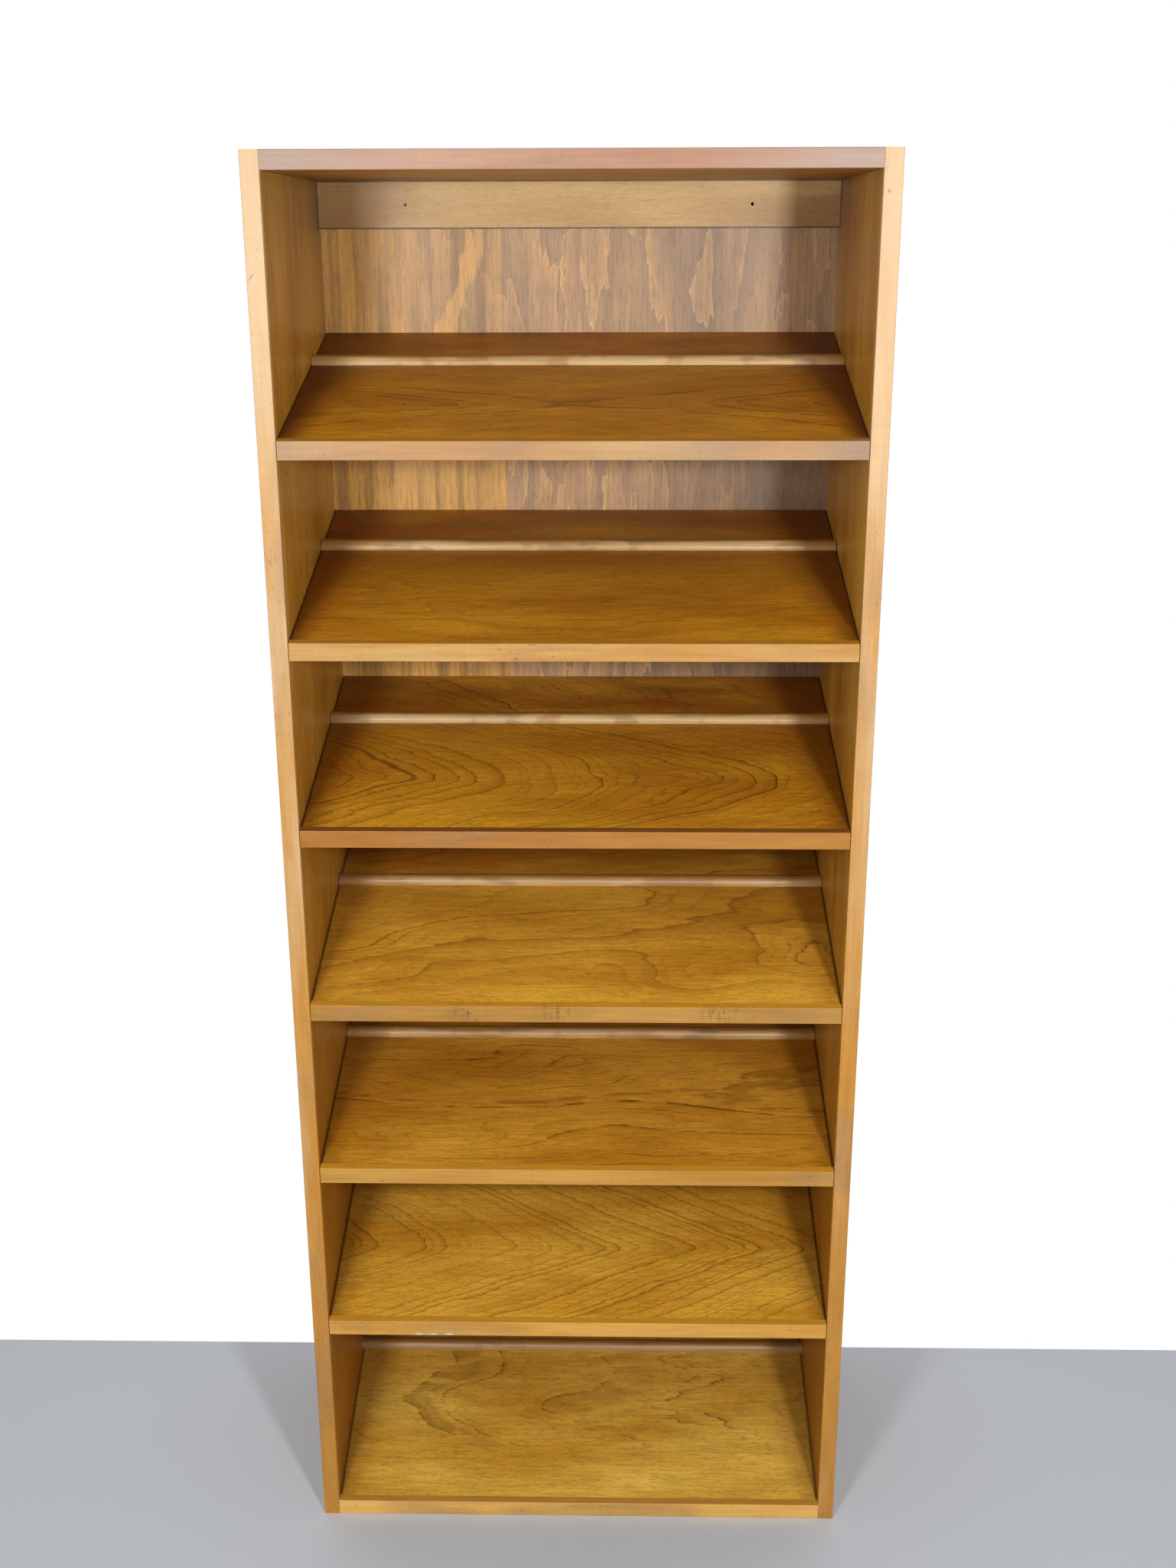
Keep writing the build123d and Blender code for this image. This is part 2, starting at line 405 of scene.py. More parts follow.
BOARD_GRAIN = {
    "wander": (2.4, 9.0, 2.0),
    "ragged": (24.0, 90.0, 3.0),
    "fibre": (20.0, 320.0, 5.0),
    "flecks": (110.0, 560.0, 2.0),
    "cloud": (4.0, 16.0, 3.0),
}
BOARD_SATIN = (0.32, 0.52)
BOARD_HALF = 0.3
BOARD_LIGHT = (0.86, 1.14)
RAGGED_SWAY = 0.6
FIBRE_SWAY = 0.3
RING_FIBRES = (0.4, 1.6)
PLAIN_FADE = 0.06
BREAK_EDGE = (0.46, 0.6)
END_STAIN_AND_SHADE = stain(92, 34, 6)
END_REACH = 0.03
END_SPREAD = 0.3
END_SWAY = 0.8
REAR_STAIN_AND_SHADE = stain(100, 48, 8)
REAR_DEPTHS = (cad_low.y, 0.09)
BEAD_DEPTHS = (0.05, 0.1)
BEHIND_CLOUDS = (0.2, 0.7)
BEHIND_SHARE = 0.5
RED_STAIN = stain(160, 58, 8)
RED_DEPTHS = (0.06, 0.09)
RED_RAGGED = (0.5, 0.66)
RED_WANDER = (0.44, 0.56)
RED_SHARE = 0.5
# Painted shadow in the joint gaps, on the boards and round the cleat.
SEAM_SHADE = stain(40, 20, 6)
SEAM_EDGE = (0.0026, 0.001)
SEAM_SHARE = 0.7


def board_finish(name, rise_of, tones, seed, contrast, ends, rear=0.3, rarity=2.0, plain=-1.0, broken=0.0):
    """Grain along the board: the growth rings that rise_of gives, fibres, flecks and clouds of stain.

    The ends are darker by that share, wider to the back: partly stain collected there and partly painted
    shadow of the sides. The board darkens to the rear by another share, and behind the bead, partly in
    stain and partly in painted shade, and has reddened in places behind the bead. In front of plain the
    veneer is straight-grained, with no rings, and elsewhere the rings are broken off in patches by that
    share.
    """
    pale, deep, line = tones
    finish, spot = new_finish(name)
    x, y, _ = axes(spot)
    wander, ragged, fibre, flecks, cloud = layers(spot, "x", BOARD_GRAIN, seed)
    rise = rise_of(x, y, wander.sway()) + ragged.sway() * RAGGED_SWAY + fibre.sway() * FIBRE_SWAY
    ringed = rings(rise, seed, rarity) * fibre.between(*RING_FIBRES) * y.step(plain, plain + PLAIN_FADE)
    ringed = ringed * (1.0 - ragged.step(*BREAK_EDGE) * broken)
    colour = blend(cloud.spread(), pale, deep)
    colour = blend(ringed * contrast, colour, line)
    # Partly stain and partly painted shadow of the sides: darker at the ends, wider to the back.
    from_end = BOARD_HALF - x.math("ABSOLUTE")
    reach = END_REACH + (y - cad_low.y) * END_SPREAD
    end_stain_and_shade_share = (from_end / reach + cloud.sway() * END_SWAY).step(1.0, 0.0) * ends
    colour = blend(end_stain_and_shade_share, colour, END_STAIN_AND_SHADE)
    # Partly stain and partly painted shade: darker towards the rear, and in clouds behind the bead.
    colour = blend(y.step(*REAR_DEPTHS) * rear, colour, REAR_STAIN_AND_SHADE)
    behind = y.step(*BEAD_DEPTHS) * cloud.step(*BEHIND_CLOUDS) * BEHIND_SHARE
    colour = blend(behind, colour, REAR_STAIN_AND_SHADE)
    reddened = y.step(*RED_DEPTHS) * ragged.step(*RED_RAGGED) * wander.step(*RED_WANDER) * RED_SHARE
    colour = blend(reddened, colour, RED_STAIN)
    colour = tint(colour, streaks(fibre, flecks) * ragged.between(*BOARD_LIGHT))
    # Painted shadow: a dark line in the joint gap at each end of the board.
    colour = blend(from_end.step(*SEAM_EDGE) * SEAM_SHARE, colour, SEAM_SHADE)
    return varnish(finish, colour, fibre, BOARD_SATIN)


def straight_figure(rings_across, stray, lean=0.0, swells=()):
    """Straight rings: they rise across the board, so many to the metre, stray with the grain by so many
    rings, lean along the board, and bulge about each swell's centre, to its size and by its height.
    """

    def rise_of(x, y, wander):
        bulges = sum(swell(x, y, *bulge) for bulge in swells)
        return (y - x * lean) * rings_across + wander * stray + bulges

    return rise_of


TOP_TONES = (SIDE_PALE, SIDE_DEEP, SIDE_LINE)
TOP_LIP = (stain(184, 140, 112), stain(170, 120, 88))
TOP_GREY = stain(160, 132, 115)
GREYED_FROM_MIDDLE = (0.12, 0.3)
GREYED_SHARE = 0.7


def greyed(x, z, specks, ticks):
    """The top's lipping is greyer towards its ends."""
    return x.math("ABSOLUTE").step(*GREYED_FROM_MIDDLE) * GREYED_SHARE


top_figure = straight_figure(rings_across=40.0, stray=8.0)
dress(board_finish("top_stain", top_figure, TOP_TONES, seed=41.0, contrast=0.5, ends=0.3), "top")
top_lip = lipping_finish("top_lipping_stain", "x", TOP_LIP, seed=43.0, marks=(TOP_GREY, greyed))
dress(top_lip, "top_lipping")


# The back: a thin plywood panel let into rebates behind the sides and nailed on.
# Its face veneer stands upright and took the stain boldly, in grey and gold flames.

BACK_TAN = stain(206, 161, 106)
BACK_FRINGE = stain(226, 186, 130)
BACK_GREY = stain(140, 114, 90)
BACK_HONEY = stain(214, 160, 72)
BACK_GOLD = stain(222, 168, 88)
BACK_DARK_GRAIN_AND_SHADE = stain(88, 58, 30)
BACK_SEED = 51.0
BACK_GRAIN = {
    "wander": (2.4, 9.0, 4.0),
    "teeth": (18.0, 90.0, 3.0),
    "fibre": (8.0, 220.0, 5.0),
    "flecks": (50.0, 420.0, 2.0),
    "band": (2.4, 70.0, 4.0),
    "patch": (3.0, 6.0, 2.0),
}
FLAME_WANDER = 8.5
FLAME_TEETH = 0.8
FLAMES_UP = 3.2
FLAME_TURN = 0.6
FLAME_GREYS = (0.55, 1.0)
FRINGE_EDGE = (0.06, 0.0)
FRINGE_SHARE = 0.35
DARKER_ACROSS = (0.12, 0.34)
DARKER_HEIGHTS = (1.35, 1.2)
DARKER_SHARES = (0.27, 0.77)
DARKER_SWAY = 0.2
JOINT_X = -0.09
JOINT_BLUR = 0.004
JOINT_SWAY = 0.01
FADED_HEIGHTS = (1.3, 1.45)
FADED_ACROSS = (-0.23, -0.17)
FADED_SHARE = 0.65
HONEY_SHARES = (0.6, 1.1)
BAND_EDGE = (0.42, 0.66)
BAND_SHARES = (0.15, 0.5)
STREAK_X = -0.117
STREAK_Z = 1.537
STREAK_LEAN = 0.38
STREAK_SWAY = 0.05
STREAK_EDGE = (0.015, 0.009)
STREAK_SHARES = (0.4, 1.1)


def back_finish():
    """Two leaves of veneer. The wide one has tall flames: going up, each ring turns from grey to tan and
    breaks off at a ragged pale fringe, and its right is darker lower down, partly in stain and partly in
    painted shade from the shelves and the side. The left one is golden and straight in the grain, greyer
    at its top, with dark lines and a slanting golden streak. The rear is one leaf.
    """
    finish, spot = new_finish("back_stain")
    x, _, z = axes(spot)
    wander, teeth, fibre, flecks, band, patch = layers(spot, "z", BACK_GRAIN, BACK_SEED)
    rise = wander * FLAME_WANDER + teeth * FLAME_TEETH - z * FLAMES_UP
    turn = rise.math("FRACT")
    flame = rise.math("FLOOR")
    weight = rise.node("TexWhiteNoise", {"noise_dimensions": "1D"}, {"W": flame}, "Value")
    colour = blend(turn ** FLAME_TURN * weight.between(*FLAME_GREYS), BACK_TAN, BACK_GREY)
    colour = blend(turn.step(*FRINGE_EDGE) * FRINGE_SHARE, colour, BACK_FRINGE)
    # Partly stain and partly painted shade: the right of the wide leaf is darker lower down.
    right = (x + patch * DARKER_SWAY).step(*DARKER_ACROSS)
    colour = blend(right * z.step(*DARKER_HEIGHTS).between(*DARKER_SHARES), colour, BACK_DARK_GRAIN_AND_SHADE)
    front = (facing(spot)[1] * -1.0).step(*LOOKS_ALONG)
    past_joint = x + teeth.sway() * JOINT_SWAY
    left_leaf = past_joint.step(JOINT_X + JOINT_BLUR, JOINT_X - JOINT_BLUR) * front
    faded = z.step(*FADED_HEIGHTS) * x.step(*FADED_ACROSS) * FADED_SHARE
    colour = blend(left_leaf * patch.between(*HONEY_SHARES) * (1.0 - faded), colour, BACK_HONEY)
    colour = blend(band.step(*BAND_EDGE) * left_leaf.between(*BAND_SHARES), colour, BACK_DARK_GRAIN_AND_SHADE)
    slant = x - STREAK_X + (STREAK_Z - z) * STREAK_LEAN
    from_streak = (slant + (wander.sway() + teeth.sway()) * STREAK_SWAY).math("ABSOLUTE")
    golden = from_streak.step(*STREAK_EDGE) * front * flecks.between(*STREAK_SHARES)
    colour = tint(blend(golden, colour, BACK_GOLD), streaks(fibre, flecks))
    return varnish(finish, colour, fibre, BOARD_SATIN)


dress(back_finish(), "back_panel")


# The hanging cleat: a rail of solid birch under the top, dowelled to the sides, that takes the two
# wall screws. It takes a plain tan stain; the dark lines round it are painted shadow in its seams, and its
# ends are darkened partly by stain and partly by painted shadow of the sides.

CLEAT_PALE = stain(206, 169, 104)
CLEAT_DEEP = stain(180, 140, 78)
CLEAT_LINE = stain(124, 86, 40)
CLEAT_END_STAIN_AND_SHADE = stain(114, 66, 10)
RAW_WOOD = stain(240, 214, 172)
CLEAT_SEED = 61.0
CLEAT_SATIN = (0.34, 0.54)
CLEAT_RINGS = 70.0
CLEAT_WANDER = 8.0
CLEAT_RAGGED = 0.6
CLEAT_CONTRAST = 0.3
CLEAT_STREAKS = (0.4, 1.0)
LEFT_STAIN_AND_SHADE_REACH = (0.125, 0.045)
LEFT_STAIN_AND_SHADE_LEAN = 0.5
LEFT_STAIN_AND_SHADE_SHARE = 0.58
RIGHT_STAIN_AND_SHADE_REACH = (0.12, 0.03)
RIGHT_STAIN_AND_SHADE_CLOUDS = (0.35, 0.6)
RIGHT_STAIN_AND_SHADE_SHARES = (0.15, 0.6)
CLEAT_SEAM_EDGE = (0.0018, 0.0008)
CLEAT_SEAM_SHARES = (0.5, 1.3)
WALL_HOLE_X = 0.2
WALL_HOLE_Z = 1.567
WALL_HOLE_EDGE = (0.0028, 0.0026)


def away_from(place, centre, aside):
    """How far a place is from a centre, when it is also so far aside: the root of the two squares' sum."""
    return ((place - centre) ** 2.0 + aside ** 2.0) ** 0.5


def cleat_finish():
    """Faint rings along the rail, ends darkened partly by stain and partly by painted shadow of the sides,
    a painted shadow line along its edges and bare wood in its holes.
    """
    low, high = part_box("hanging_cleat")
    finish, spot = new_finish("cleat_stain")
    x, _, z = axes(spot)
    wander, ragged, fibre, flecks, cloud = layers(spot, "x", BOARD_GRAIN, CLEAT_SEED)
    rise = z * CLEAT_RINGS + wander * CLEAT_WANDER + ragged * CLEAT_RAGGED
    colour = blend(cloud.spread(), CLEAT_PALE, CLEAT_DEEP)
    colour = blend(rings(rise, CLEAT_SEED) * CLEAT_CONTRAST, colour, CLEAT_LINE)
    # Ends darkened partly by stain and partly by painted shadow of the sides, the left one wider towards
    # the top.
    from_left = x - low.x - (z - low.z) * LEFT_STAIN_AND_SHADE_LEAN
    left_end = from_left.step(*LEFT_STAIN_AND_SHADE_REACH) * LEFT_STAIN_AND_SHADE_SHARE
    right_clouds = cloud.step(*RIGHT_STAIN_AND_SHADE_CLOUDS).between(*RIGHT_STAIN_AND_SHADE_SHARES)
    right_end = (high.x - x).step(*RIGHT_STAIN_AND_SHADE_REACH) * right_clouds
    colour = blend(left_end + right_end, colour, CLEAT_END_STAIN_AND_SHADE)
    colour = tint(colour, streaks(fibre, flecks).between(*CLEAT_STREAKS))
    # Painted shadow: a broken dark line along the cleat's ends and edges, in its seams.
    to_end = high.x - x.math("ABSOLUTE")
    to_edge = to_end.math("MINIMUM", z - low.z).math("MINIMUM", high.z - z)
    seamed = to_edge.step(*CLEAT_SEAM_EDGE) * ragged.between(*CLEAT_SEAM_SHARES)
    colour = blend(seamed, colour, SEAM_SHADE)
    to_hole = away_from(x.math("ABSOLUTE"), WALL_HOLE_X, z - WALL_HOLE_Z)
    colour = blend(to_hole.step(*WALL_HOLE_EDGE), colour, RAW_WOOD)
    return varnish(finish, colour, fibre, CLEAT_SATIN)


dress(cleat_finish(), "hanging_cleat")


# The shelves: plywood boards that slope to the front, the bottom one dowelled in and six on pins.
# Each has its own face veneer, so the rings make a different figure on every one.

BROWN_SHELF = (stain(216, 152, 34), stain(186, 120, 22), stain(88, 42, 8))
AMBER_SHELF = (stain(216, 154, 36), stain(184, 120, 22), stain(84, 38, 6))
GOLD_SHELF = (stain(235, 177, 58), stain(206, 143, 36), stain(112, 54, 10))
HONEY_SHELF = (stain(222, 162, 50), stain(188, 126, 28), stain(104, 48, 8))
PALE_SHELF = (stain(240, 186, 64), stain(214, 153, 40), stain(120, 60, 12))
FLOOR_SHELF = (stain(244, 197, 82), stain(212, 156, 48), stain(112, 62, 16))
ROSE_LIP = (stain(193, 151, 97), stain(181, 131, 75))
TAN_LIP = (stain(206, 161, 95), stain(191, 137, 63))
DARK_LIP = (stain(186, 128, 52), stain(171, 110, 37))
AMBER_LIP = (stain(192, 143, 66), stain(178, 126, 50))
HONEY_LIP = (stain(206, 152, 64), stain(190, 133, 46))
GOLD_LIP = (stain(230, 172, 76), stain(214, 152, 57))
PALE_LIP = (stain(248, 196, 102), stain(234, 176, 78))
BROWN_CAP = stain(184, 120, 26)
DARK_CAP = stain(122, 74, 26)
GOLD_CAP = stain(204, 144, 38)
OAK_CAP = stain(186, 134, 50)


def arched_figure(spine, bend, steepness, heading, rings_along, stray, lean=0.0, crest=None):
    """Arched rings: they rise away from a spine, so much the steeper than along the board, and rounded on
    the spine by the bend. They point along x by the heading, lean across the board and stray with the
    grain. A crest, a place along the board and its own bend, makes two sets of arches meet there.
    """

    def rise_of(x, y, wander):
        along = away_from(x, *crest) if crest else x
        arch = away_from(y, spine, bend) * steepness + along * heading - y * lean
        return arch * rings_along + wander * stray

    return rise_of


LIP_SEED_STEP = 1.0


def dress_shelf(shelf, figure, tones, lip_tones, cap, seed, marks=None, **stain_and_shade):
    """Stains one shelf's board, with its figure of rings, and its lipping, capped on top."""
    dress(board_finish(shelf + "_stain", figure, tones, seed, **stain_and_shade), shelf)
    lip_seed = seed + LIP_SEED_STEP
    lip = lipping_finish(shelf + "_lipping_stain", "x", lip_tones, lip_seed, cap, marks=marks)
    dress(lip, shelf + "_lipping")


HAZE = stain(124, 108, 98)
HAZE_PATCHES = ((0.3, 0.05, 0.5), (0.14, 0.05, 0.3), (-0.06, 0.03, 0.2), (-0.3, 0.03, 0.25))
HAZE_Z = 1.326
HAZE_HEIGHT = 0.02


def hazed(x, z, specks, ticks):
    """Cool grey patches in the stain of the first shelf's lipping, the strongest at its right end."""
    patches = [swell(x, z, (at, HAZE_Z), (long, HAZE_HEIGHT), share) for at, long, share in HAZE_PATCHES]
    return sum(patches)


dress_shelf(
    "shelf_1",
    arched_figure(
        spine=-0.066,
        bend=0.01,
        steepness=5.0,
        heading=-1.0,
        rings_along=32.0,
        stray=10.0,
        crest=(-0.01, 0.02),
    ),
    BROWN_SHELF,
    ROSE_LIP,
    BROWN_CAP,
    seed=79.0,
    marks=(HAZE, hazed),
    contrast=0.75,
    ends=1.0,
    rarity=1.2,
    broken=0.7,
)

SHELF_DENT_PLACE = (-0.06, 1.109)


def dented(x, z, specks, ticks):
    """A small dark dent by the lower arris of the second shelf's lipping."""
    return swell(x, z, SHELF_DENT_PLACE, DENT_SIZE, NICK_SHARE)


dress_shelf(
    "shelf_2",
    straight_figure(rings_across=44.0, stray=14.0),
    BROWN_SHELF,
    TAN_LIP,
    BROWN_CAP,
    seed=88.0,
    marks=(NICK, dented),
    contrast=0.4,
    ends=0.8,
    rear=0.5,
)
dress_shelf(
    "shelf_3",
    arched_figure(spine=-0.063, bend=0.02, steepness=2.1, heading=1.0, rings_along=40.0, stray=9.0),
    AMBER_SHELF,
    DARK_LIP,
    DARK_CAP,
    seed=97.0,
    contrast=0.9,
    ends=0.7,
    rarity=1.3,
)

SHELF_4_EYE = ((0.132, -0.122), (0.065, 0.04), 3.6)
SHELF_4_KNOT = ((0.291, -0.081), (0.09, 0.055), 8.0)
RUBBING_PLACES = (-0.127, -0.019, 0.163)
RUBBING_Z = 0.697
RUBBING_SIZE = (0.024, 0.012)
RUBBED_TICKS = (0.44, 0.6)
RUBBED_TICK_SHARE = 0.4
RUBBED_SPECKS = (0.58, 0.66)
RUBBED_SPECK_SHARE = 0.5


def rubbed(x, z, specks, ticks):
    """Three dark rubbings on the fourth shelf's lipping, in ticks across the grain and a few specks."""
    rubbings = sum(swell(x, z, (at, RUBBING_Z), RUBBING_SIZE, 1.0) for at in RUBBING_PLACES)
    dark_ticks = ticks.step(*RUBBED_TICKS) * RUBBED_TICK_SHARE
    dark_specks = specks.step(*RUBBED_SPECKS) * RUBBED_SPECK_SHARE
    return rubbings * (dark_ticks + dark_specks)


dress_shelf(
    "shelf_4",
    straight_figure(rings_across=48.0, stray=9.0, lean=0.2, swells=(SHELF_4_EYE, SHELF_4_KNOT)),
    GOLD_SHELF,
    AMBER_LIP,
    GOLD_CAP,
    seed=106.0,
    marks=(LIP_SPECK, rubbed),
    contrast=0.8,
    ends=0.35,
)

SHELF_5_LEFT = ((-0.165, -0.119), (0.11, 0.018), 6.0)
SHELF_5_RIGHT = ((0.3, -0.005), (0.22, 0.03), -8.0)
dress_shelf(
    "shelf_5",
    straight_figure(rings_across=110.0, stray=14.0, swells=(SHELF_5_LEFT, SHELF_5_RIGHT)),
    HONEY_SHELF,
    HONEY_LIP,
    GOLD_CAP,
    seed=115.0,
    contrast=0.8,
    ends=0.4,
    rear=0.4,
    rarity=1.2,
    broken=0.75,
)

CHIP_PLACES = (-0.192, -0.175, -0.155)
CHIP_Z = 0.2682
CHIP_SIZE = (0.006, 0.0018)
CHIPPED_TICKS = (0.3, 0.5)


def chipped(x, z, specks, ticks):
    """Three small chips in the stain along the lower arris of the sixth shelf's lipping."""
    chips = sum(swell(x, z, (at, CHIP_Z), CHIP_SIZE, 1.0) for at in CHIP_PLACES)
    return chips * ticks.step(*CHIPPED_TICKS)


dress_shelf(
    "shelf_6",
    arched_figure(
        spine=-0.058,
        bend=0.006,
        steepness=2.25,
        heading=1.0,
        rings_along=38.0,
        stray=5.0,
        lean=0.35,
    ),
    PALE_SHELF,
    GOLD_LIP,
    GOLD_CAP,
    seed=124.0,
    marks=(RAW_WOOD, chipped),
    contrast=0.95,
    ends=0.5,
    rarity=1.3,
)
dress_shelf(
    "bottom_shelf",
    arched_figure(
        spine=-0.03,
        bend=0.006,
        steepness=1.5,
        heading=-1.0,
        rings_along=24.0,
        stray=12.0,
        lean=0.3,
    ),
    FLOOR_SHELF,
    PALE_LIP,
    OAK_CAP,
    seed=151.0,
    contrast=1.3,
    ends=0.45,
    rarity=3.5,
    plain=-0.12,
    broken=0.85,
)


# The beads: half-round birch mouldings glued and bradded across each shelf, to stop what stands on it.
# They take a paler stain than the boards, whose stain has caught their backs and ends; that brown is also
# painted shade on the crest and behind it, and painted shadow of the sides at the ends.

BEAD_PALE = stain(206, 174, 122)
BEAD_TAN = stain(190, 154, 100)
BEAD_BROWN = stain(150, 104, 48)
BEAD_GREY = stain(120, 92, 62)
BEAD_GRAIN = {
    "fibre": (14.0, 300.0, 4.0),
    "cloud": (7.0, 60.0, 4.0),
    "smudge": (22.0, 40.0, 2.0),
    "patch": (5.0, 10.0, 2.0),
}
BEAD_SATIN = (0.3, 0.46)
BEAD_FIBRES = (0.88, 1.12)
SHELF_SLOPE = math.radians(15.0)
PALE_FROM_FOOT = (0.0095, 0.003)
PALE_SWAY = 0.009
PALE_FROM_END = (0.0, 0.06)
PALE_END_SWAY = 0.12
BEAD_SMUDGE_EDGE = (0.52, 0.64)
BEAD_SMUDGE_SHARE = 0.5
GREY_PATCHES = (0.48, 0.6)
GREY_SMUDGES = (0.4, 0.6)
GREY_SHARE = 0.7
BEAD_SEED = 171.0
BEAD_SEED_STEP = 7.0


def bead_finish(bead, seed, paleness):
    """Fine grain along the bead, pale by that share up the front of the round, with brown behind it and at
    the ends, partly stain and partly painted shade, and in smudges.
    """
    low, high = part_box(bead)
    finish, spot = new_finish(bead + "_stain")
    x, y, z = axes(spot)
    fibre, cloud, smudge, patch = layers(spot, "x", BEAD_GRAIN, seed)
    from_foot = (y - low.y) * math.cos(SHELF_SLOPE) + (z - low.z) * math.sin(SHELF_SLOPE)
    from_end = high.x - x.math("ABSOLUTE")
    # Brown from the crest back and at the ends: partly stain, partly painted shade on the crest and
    # painted shadow of the sides at the ends.
    pale = (from_foot + cloud.sway() * PALE_SWAY).step(*PALE_FROM_FOOT)
    pale = pale * (from_end + patch.sway() * PALE_END_SWAY).step(*PALE_FROM_END) * paleness
    pale = pale * (1.0 - smudge.step(*BEAD_SMUDGE_EDGE) * BEAD_SMUDGE_SHARE)
    greyed_patches = patch.step(*GREY_PATCHES) * smudge.step(*GREY_SMUDGES) * GREY_SHARE
    brown_stain_and_shade = blend(greyed_patches, BEAD_BROWN, BEAD_GREY)
    colour = blend(pale, brown_stain_and_shade, blend(cloud.spread(), BEAD_PALE, BEAD_TAN))
    colour = tint(colour, fibre.spread().between(*BEAD_FIBRES))
    return varnish(finish, colour, fibre, BEAD_SATIN)


bead_paleness = {
    "bottom_shelf_bead": 0.5,
    "shelf_1_bead": 1.0,
    "shelf_2_bead": 1.0,
    "shelf_3_bead": 1.0,
    "shelf_4_bead": 0.85,
    "shelf_5_bead": 0.75,
    "shelf_6_bead": 0.75,
}
for place, (bead, paleness) in enumerate(bead_paleness.items()):
    dress(bead_finish(bead, BEAD_SEED + BEAD_SEED_STEP * place, paleness), bead)


# The fixings: zinc-plated steel nails, screws, brads and shelf pins, driven or pushed into the boards,
# and birch dowels glued into the joints of the top, the bottom shelf and the cleat.

ZINC_DULL = stain(150, 152, 156)
ZINC_BRIGHT = stain(196, 198, 202)
ZINC_SEED = 201.0
ZINC_SATIN = (0.25, 0.5)
SPANGLE_RATES = (900.0, 900.0, 900.0)
DOWEL_TONES = (PLY_PALE, PLY_DARK)
PINNED_SHELVES = range(1, 7)


def zinc_finish():
    """Grey plated steel with a faint spangle."""
    finish, spot = new_finish("zinc_plate")
    spangle = mottle(spot, SPANGLE_RATES, ZINC_SEED)
    shader = finish.node_tree.nodes["Principled BSDF"]
    shader.inputs["Metallic"].default_value = 1.0
    links = finish.node_tree.links
    links.new(blend(spangle, ZINC_DULL, ZINC_BRIGHT).socket, shader.inputs["Base Color"])
    links.new(spangle.between(*ZINC_SATIN).socket, shader.inputs["Roughness"])
    return finish


zinc = zinc_finish()
dress(zinc, "back_panel_nails", "cleat_screws", *[bead + "_brads" for bead in bead_paleness])
dress(zinc, *[f"shelf_{number}_pins" for number in PINNED_SHELVES])
dowel_birch = lipping_finish("dowel_birch", "x", DOWEL_TONES, seed=211.0)
dress(dowel_birch, "top_dowels", "bottom_shelf_dowels", "cleat_dowels")


# The floor and the wall behind: plain and pale, so that only the bookcase shows.
# The wall is white, is seen from the front alone and takes no light from the back of the case. Just
# inside the case's outline it is black instead: a painted shadow, seen through the wall screw holes.

STAGE_HALF = 8.0
FLOOR_PAINT = stain(208, 214, 221)
FLOOR_ROUGHNESS = 0.7
FLOOR_FADE = (1.8, 5.0)
WALL_GAP = 0.001
WALL_EDGE = 0.006
WALL_BLUR = 0.001
WHITE = (1.0, 1.0, 1.0, 1.0)
BLACK = (0.0, 0.0, 0.0, 1.0)
SEEN_EDGE = (0.0, 0.5)


def stage_sheet(name, corners):
    """One flat sheet with those corners, as part of the stage."""
    mesh = bpy.data.meshes.new(name)
    mesh.from_pydata(corners, [], [tuple(range(len(corners)))])
    sheet = bpy.data.objects.new(name, mesh)
    bpy.context.scene.collection.objects.link(sheet)
    return mesh


def seen_rays(path):
    """1 for what the camera sees, straight or in a shine or through glass, and 0 for light."""
    names = ("Is Camera Ray", "Is Glossy Ray", "Is Transmission Ray")
    camera, shine, glass = [Tone(path.outputs[name]) for name in names]
    return (camera + shine + glass).step(*SEEN_EDGE)


def show(finish, share, under, over):
    """Makes the finish show the shader under, with the shader over laid on by that share."""
    mixed = share.node("MixShader", {}, dict(enumerate((share, under, over))))
    output = finish.node_tree.nodes["Material Output"]
    finish.node_tree.links.new(mixed.socket, output.inputs["Surface"])


floor = stage_sheet(
    "floor",
    [
        (-STAGE_HALF, -STAGE_HALF, 0.0),
        (STAGE_HALF, -STAGE_HALF, 0.0),
        (STAGE_HALF, STAGE_HALF, 0.0),
        (-STAGE_HALF, STAGE_HALF, 0.0),
    ],
)
floor_finish, spot = new_finish("floor_paint")
floor_shader = floor_finish.node_tree.nodes["Principled BSDF"]
floor_shader.inputs["Base Color"].default_value = FLOOR_PAINT
floor_shader.inputs["Roughness"].default_value = FLOOR_ROUGHNESS
away = spot.node("VectorMath", {"operation": "LENGTH"}, {"Vector": spot}, "Value")
path = spot.node("LightPath", {}, {}).socket.node
white = spot.node("Emission", {}, {"Color": WHITE, "Strength": 1.0})
far = away.step(*FLOOR_FADE) * seen_rays(path)
show(floor_finish, far, Tone(floor_shader.outputs["BSDF"]), white)
floor.materials.append(floor_finish)

wall_y = cad_high.y + WALL_GAP
wall = stage_sheet(
    "wall",
    [
        (-STAGE_HALF, wall_y, 0.0),
        (STAGE_HALF, wall_y, 0.0),
        (STAGE_HALF, wall_y, STAGE_HALF),
        (-STAGE_HALF, wall_y, STAGE_HALF),
    ],
)
wall_finish, spot = new_finish("wall_paint")
x, _, z = axes(spot)
# Painted shadow: black behind the case, a little inside its outline, so the wall screw holes look dark.
beside = (x.math("ABSOLUTE") - (cad_high.x - WALL_EDGE)).step(0.0, WALL_BLUR)
above = (z - (cad_high.z - WALL_EDGE)).step(0.0, WALL_BLUR)
clear = beside.math("MAXIMUM", above)
white = spot.node("Emission", {}, {"Color": blend(clear, BLACK, WHITE), "Strength": 1.0})
nothing = spot.node("BsdfTransparent", {}, {})
behind = spot.node("NewGeometry", {}, {}, "Backfacing")
seen = spot.node("LightPath", {}, {}, "Is Camera Ray") * (1.0 - behind)
show(wall_finish, seen, nothing, white)
wall.materials.append(wall_finish)


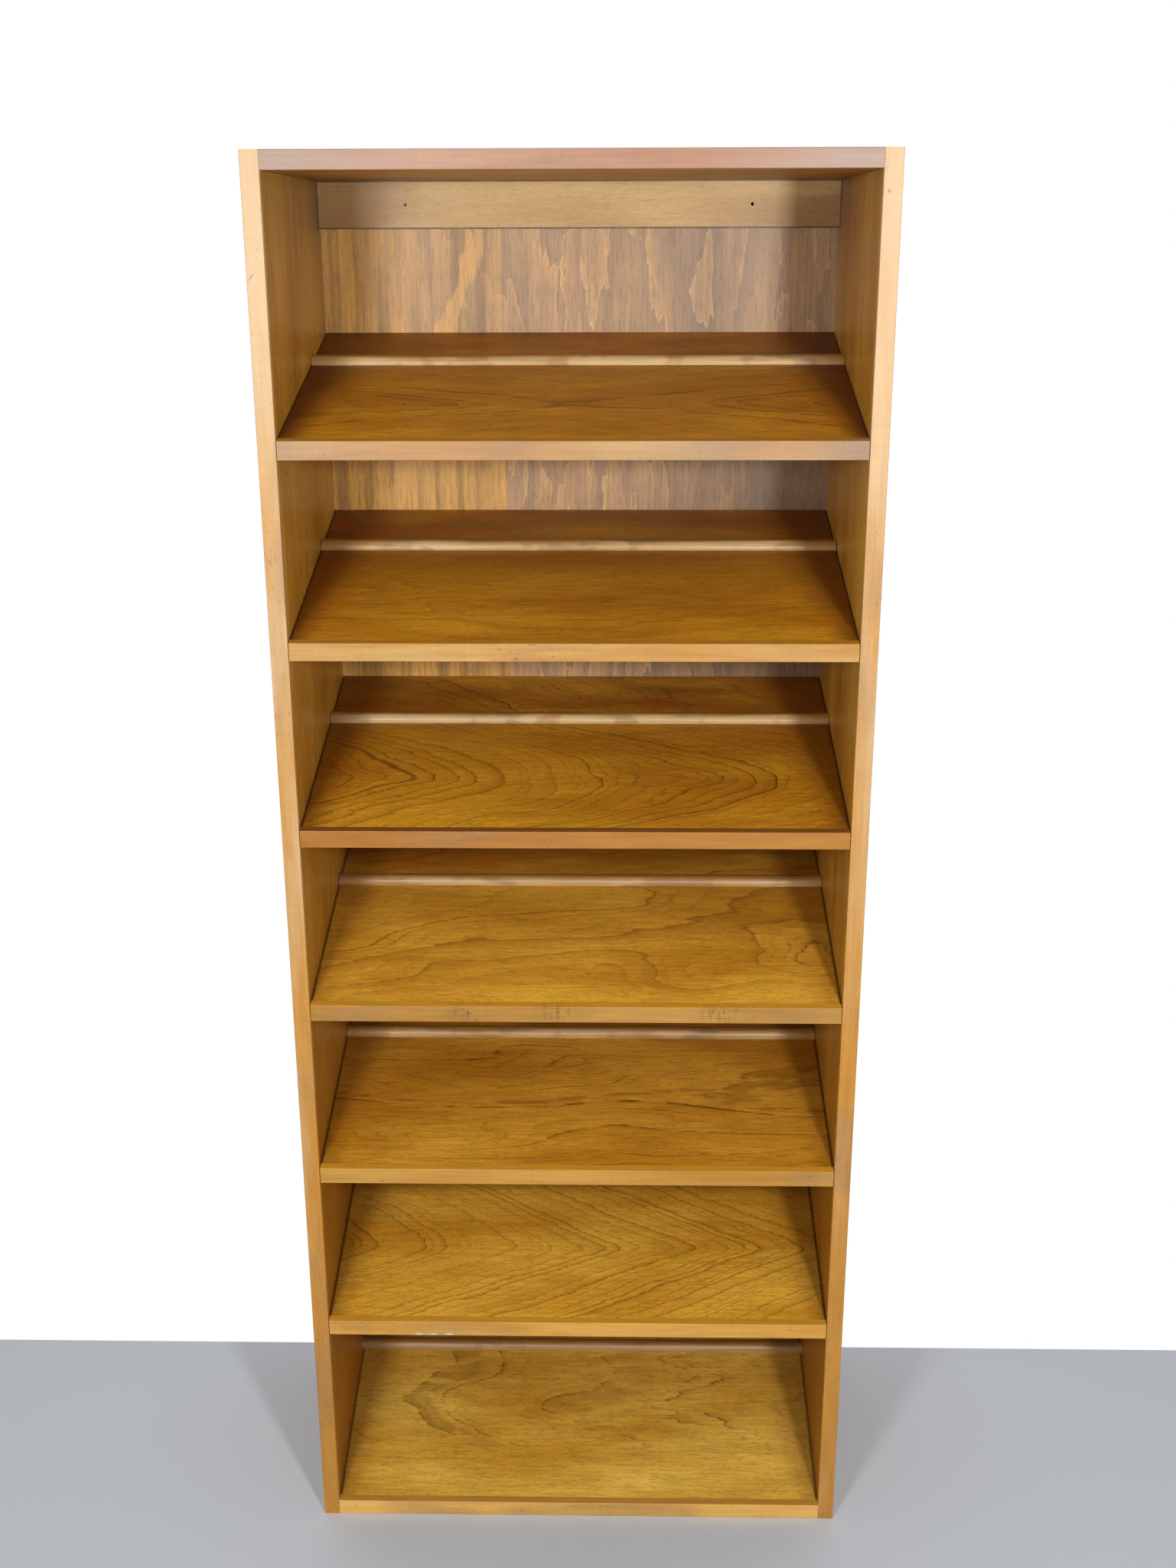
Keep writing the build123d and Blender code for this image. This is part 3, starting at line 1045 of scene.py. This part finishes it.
# The light: two soft lamps in front, left and right at about eye height, and a plain white room,
# brighter behind, where the lamps don't reach the bookcase.

LAMP_HEIGHT = 1.54
LAMP_AWAY = 1.86
LAMP_ASIDE = 0.64
LAMP_TARGET = Vector((0.0, 0.0, 0.9))
ROOM_LEVEL = 0.25
REAR_LEVEL = 0.7
ROOM_TURN = (0.0, 0.4)


def lamp(name, x, size, watts):
    """A square lamp in front of the bookcase, turned to its middle."""
    light = bpy.data.lights.new(name, "AREA")
    light.size = size
    light.energy = watts
    made = bpy.data.objects.new(name, light)
    made.location = (x, -LAMP_AWAY, LAMP_HEIGHT)
    made.rotation_euler = (LAMP_TARGET - made.location).to_track_quat("-Z", "Y").to_euler()
    bpy.context.scene.collection.objects.link(made)


lamp("lamp_left", -LAMP_ASIDE, size=0.26, watts=15.5)
lamp("lamp_right", LAMP_ASIDE, size=0.14, watts=18.0)

room = bpy.data.worlds.new("room")
room.use_nodes = True
bpy.context.scene.world = room
backdrop = room.node_tree.nodes["Background"]
backdrop.inputs["Color"].default_value = WHITE
outward = Tone(room.node_tree.nodes.new("ShaderNodeTexCoord").outputs["Generated"])
level = axes(outward)[1].step(*ROOM_TURN).between(ROOM_LEVEL, REAR_LEVEL)
seen = seen_rays(room.node_tree.nodes.new("ShaderNodeLightPath"))
room.node_tree.links.new(level.math("MAXIMUM", seen).socket, backdrop.inputs["Strength"])


# The camera: it stands in front at eye height, a little to the right, and looks down at the bookcase
# through a plain lens, as for the photograph. Its place is in metres and its angles in degrees.

CAMERA_SENSOR = 36.0
CAMERA_LENS = 38.133
CAMERA_PLACE = (0.0473, -1.8720, 1.5276)
CAMERA_TURN = 1.084
CAMERA_DIP = 18.121
CAMERA_ROLL = -0.163
LEVEL_VIEW = 90.0

camera = bpy.data.cameras.new("camera")
camera.sensor_width = CAMERA_SENSOR
camera.lens = CAMERA_LENS
camera_place = bpy.data.objects.new("camera", camera)
turn = Matrix.Rotation(math.radians(CAMERA_TURN), 4, "Z")
tip = Matrix.Rotation(math.radians(LEVEL_VIEW - CAMERA_DIP), 4, "X")
roll = Matrix.Rotation(math.radians(CAMERA_ROLL), 4, "Z")
camera_place.matrix_world = Matrix.Translation(CAMERA_PLACE) @ turn @ tip @ roll
bpy.context.scene.collection.objects.link(camera_place)
bpy.context.scene.camera = camera_place
bpy.context.scene.view_settings.view_transform = "Standard"
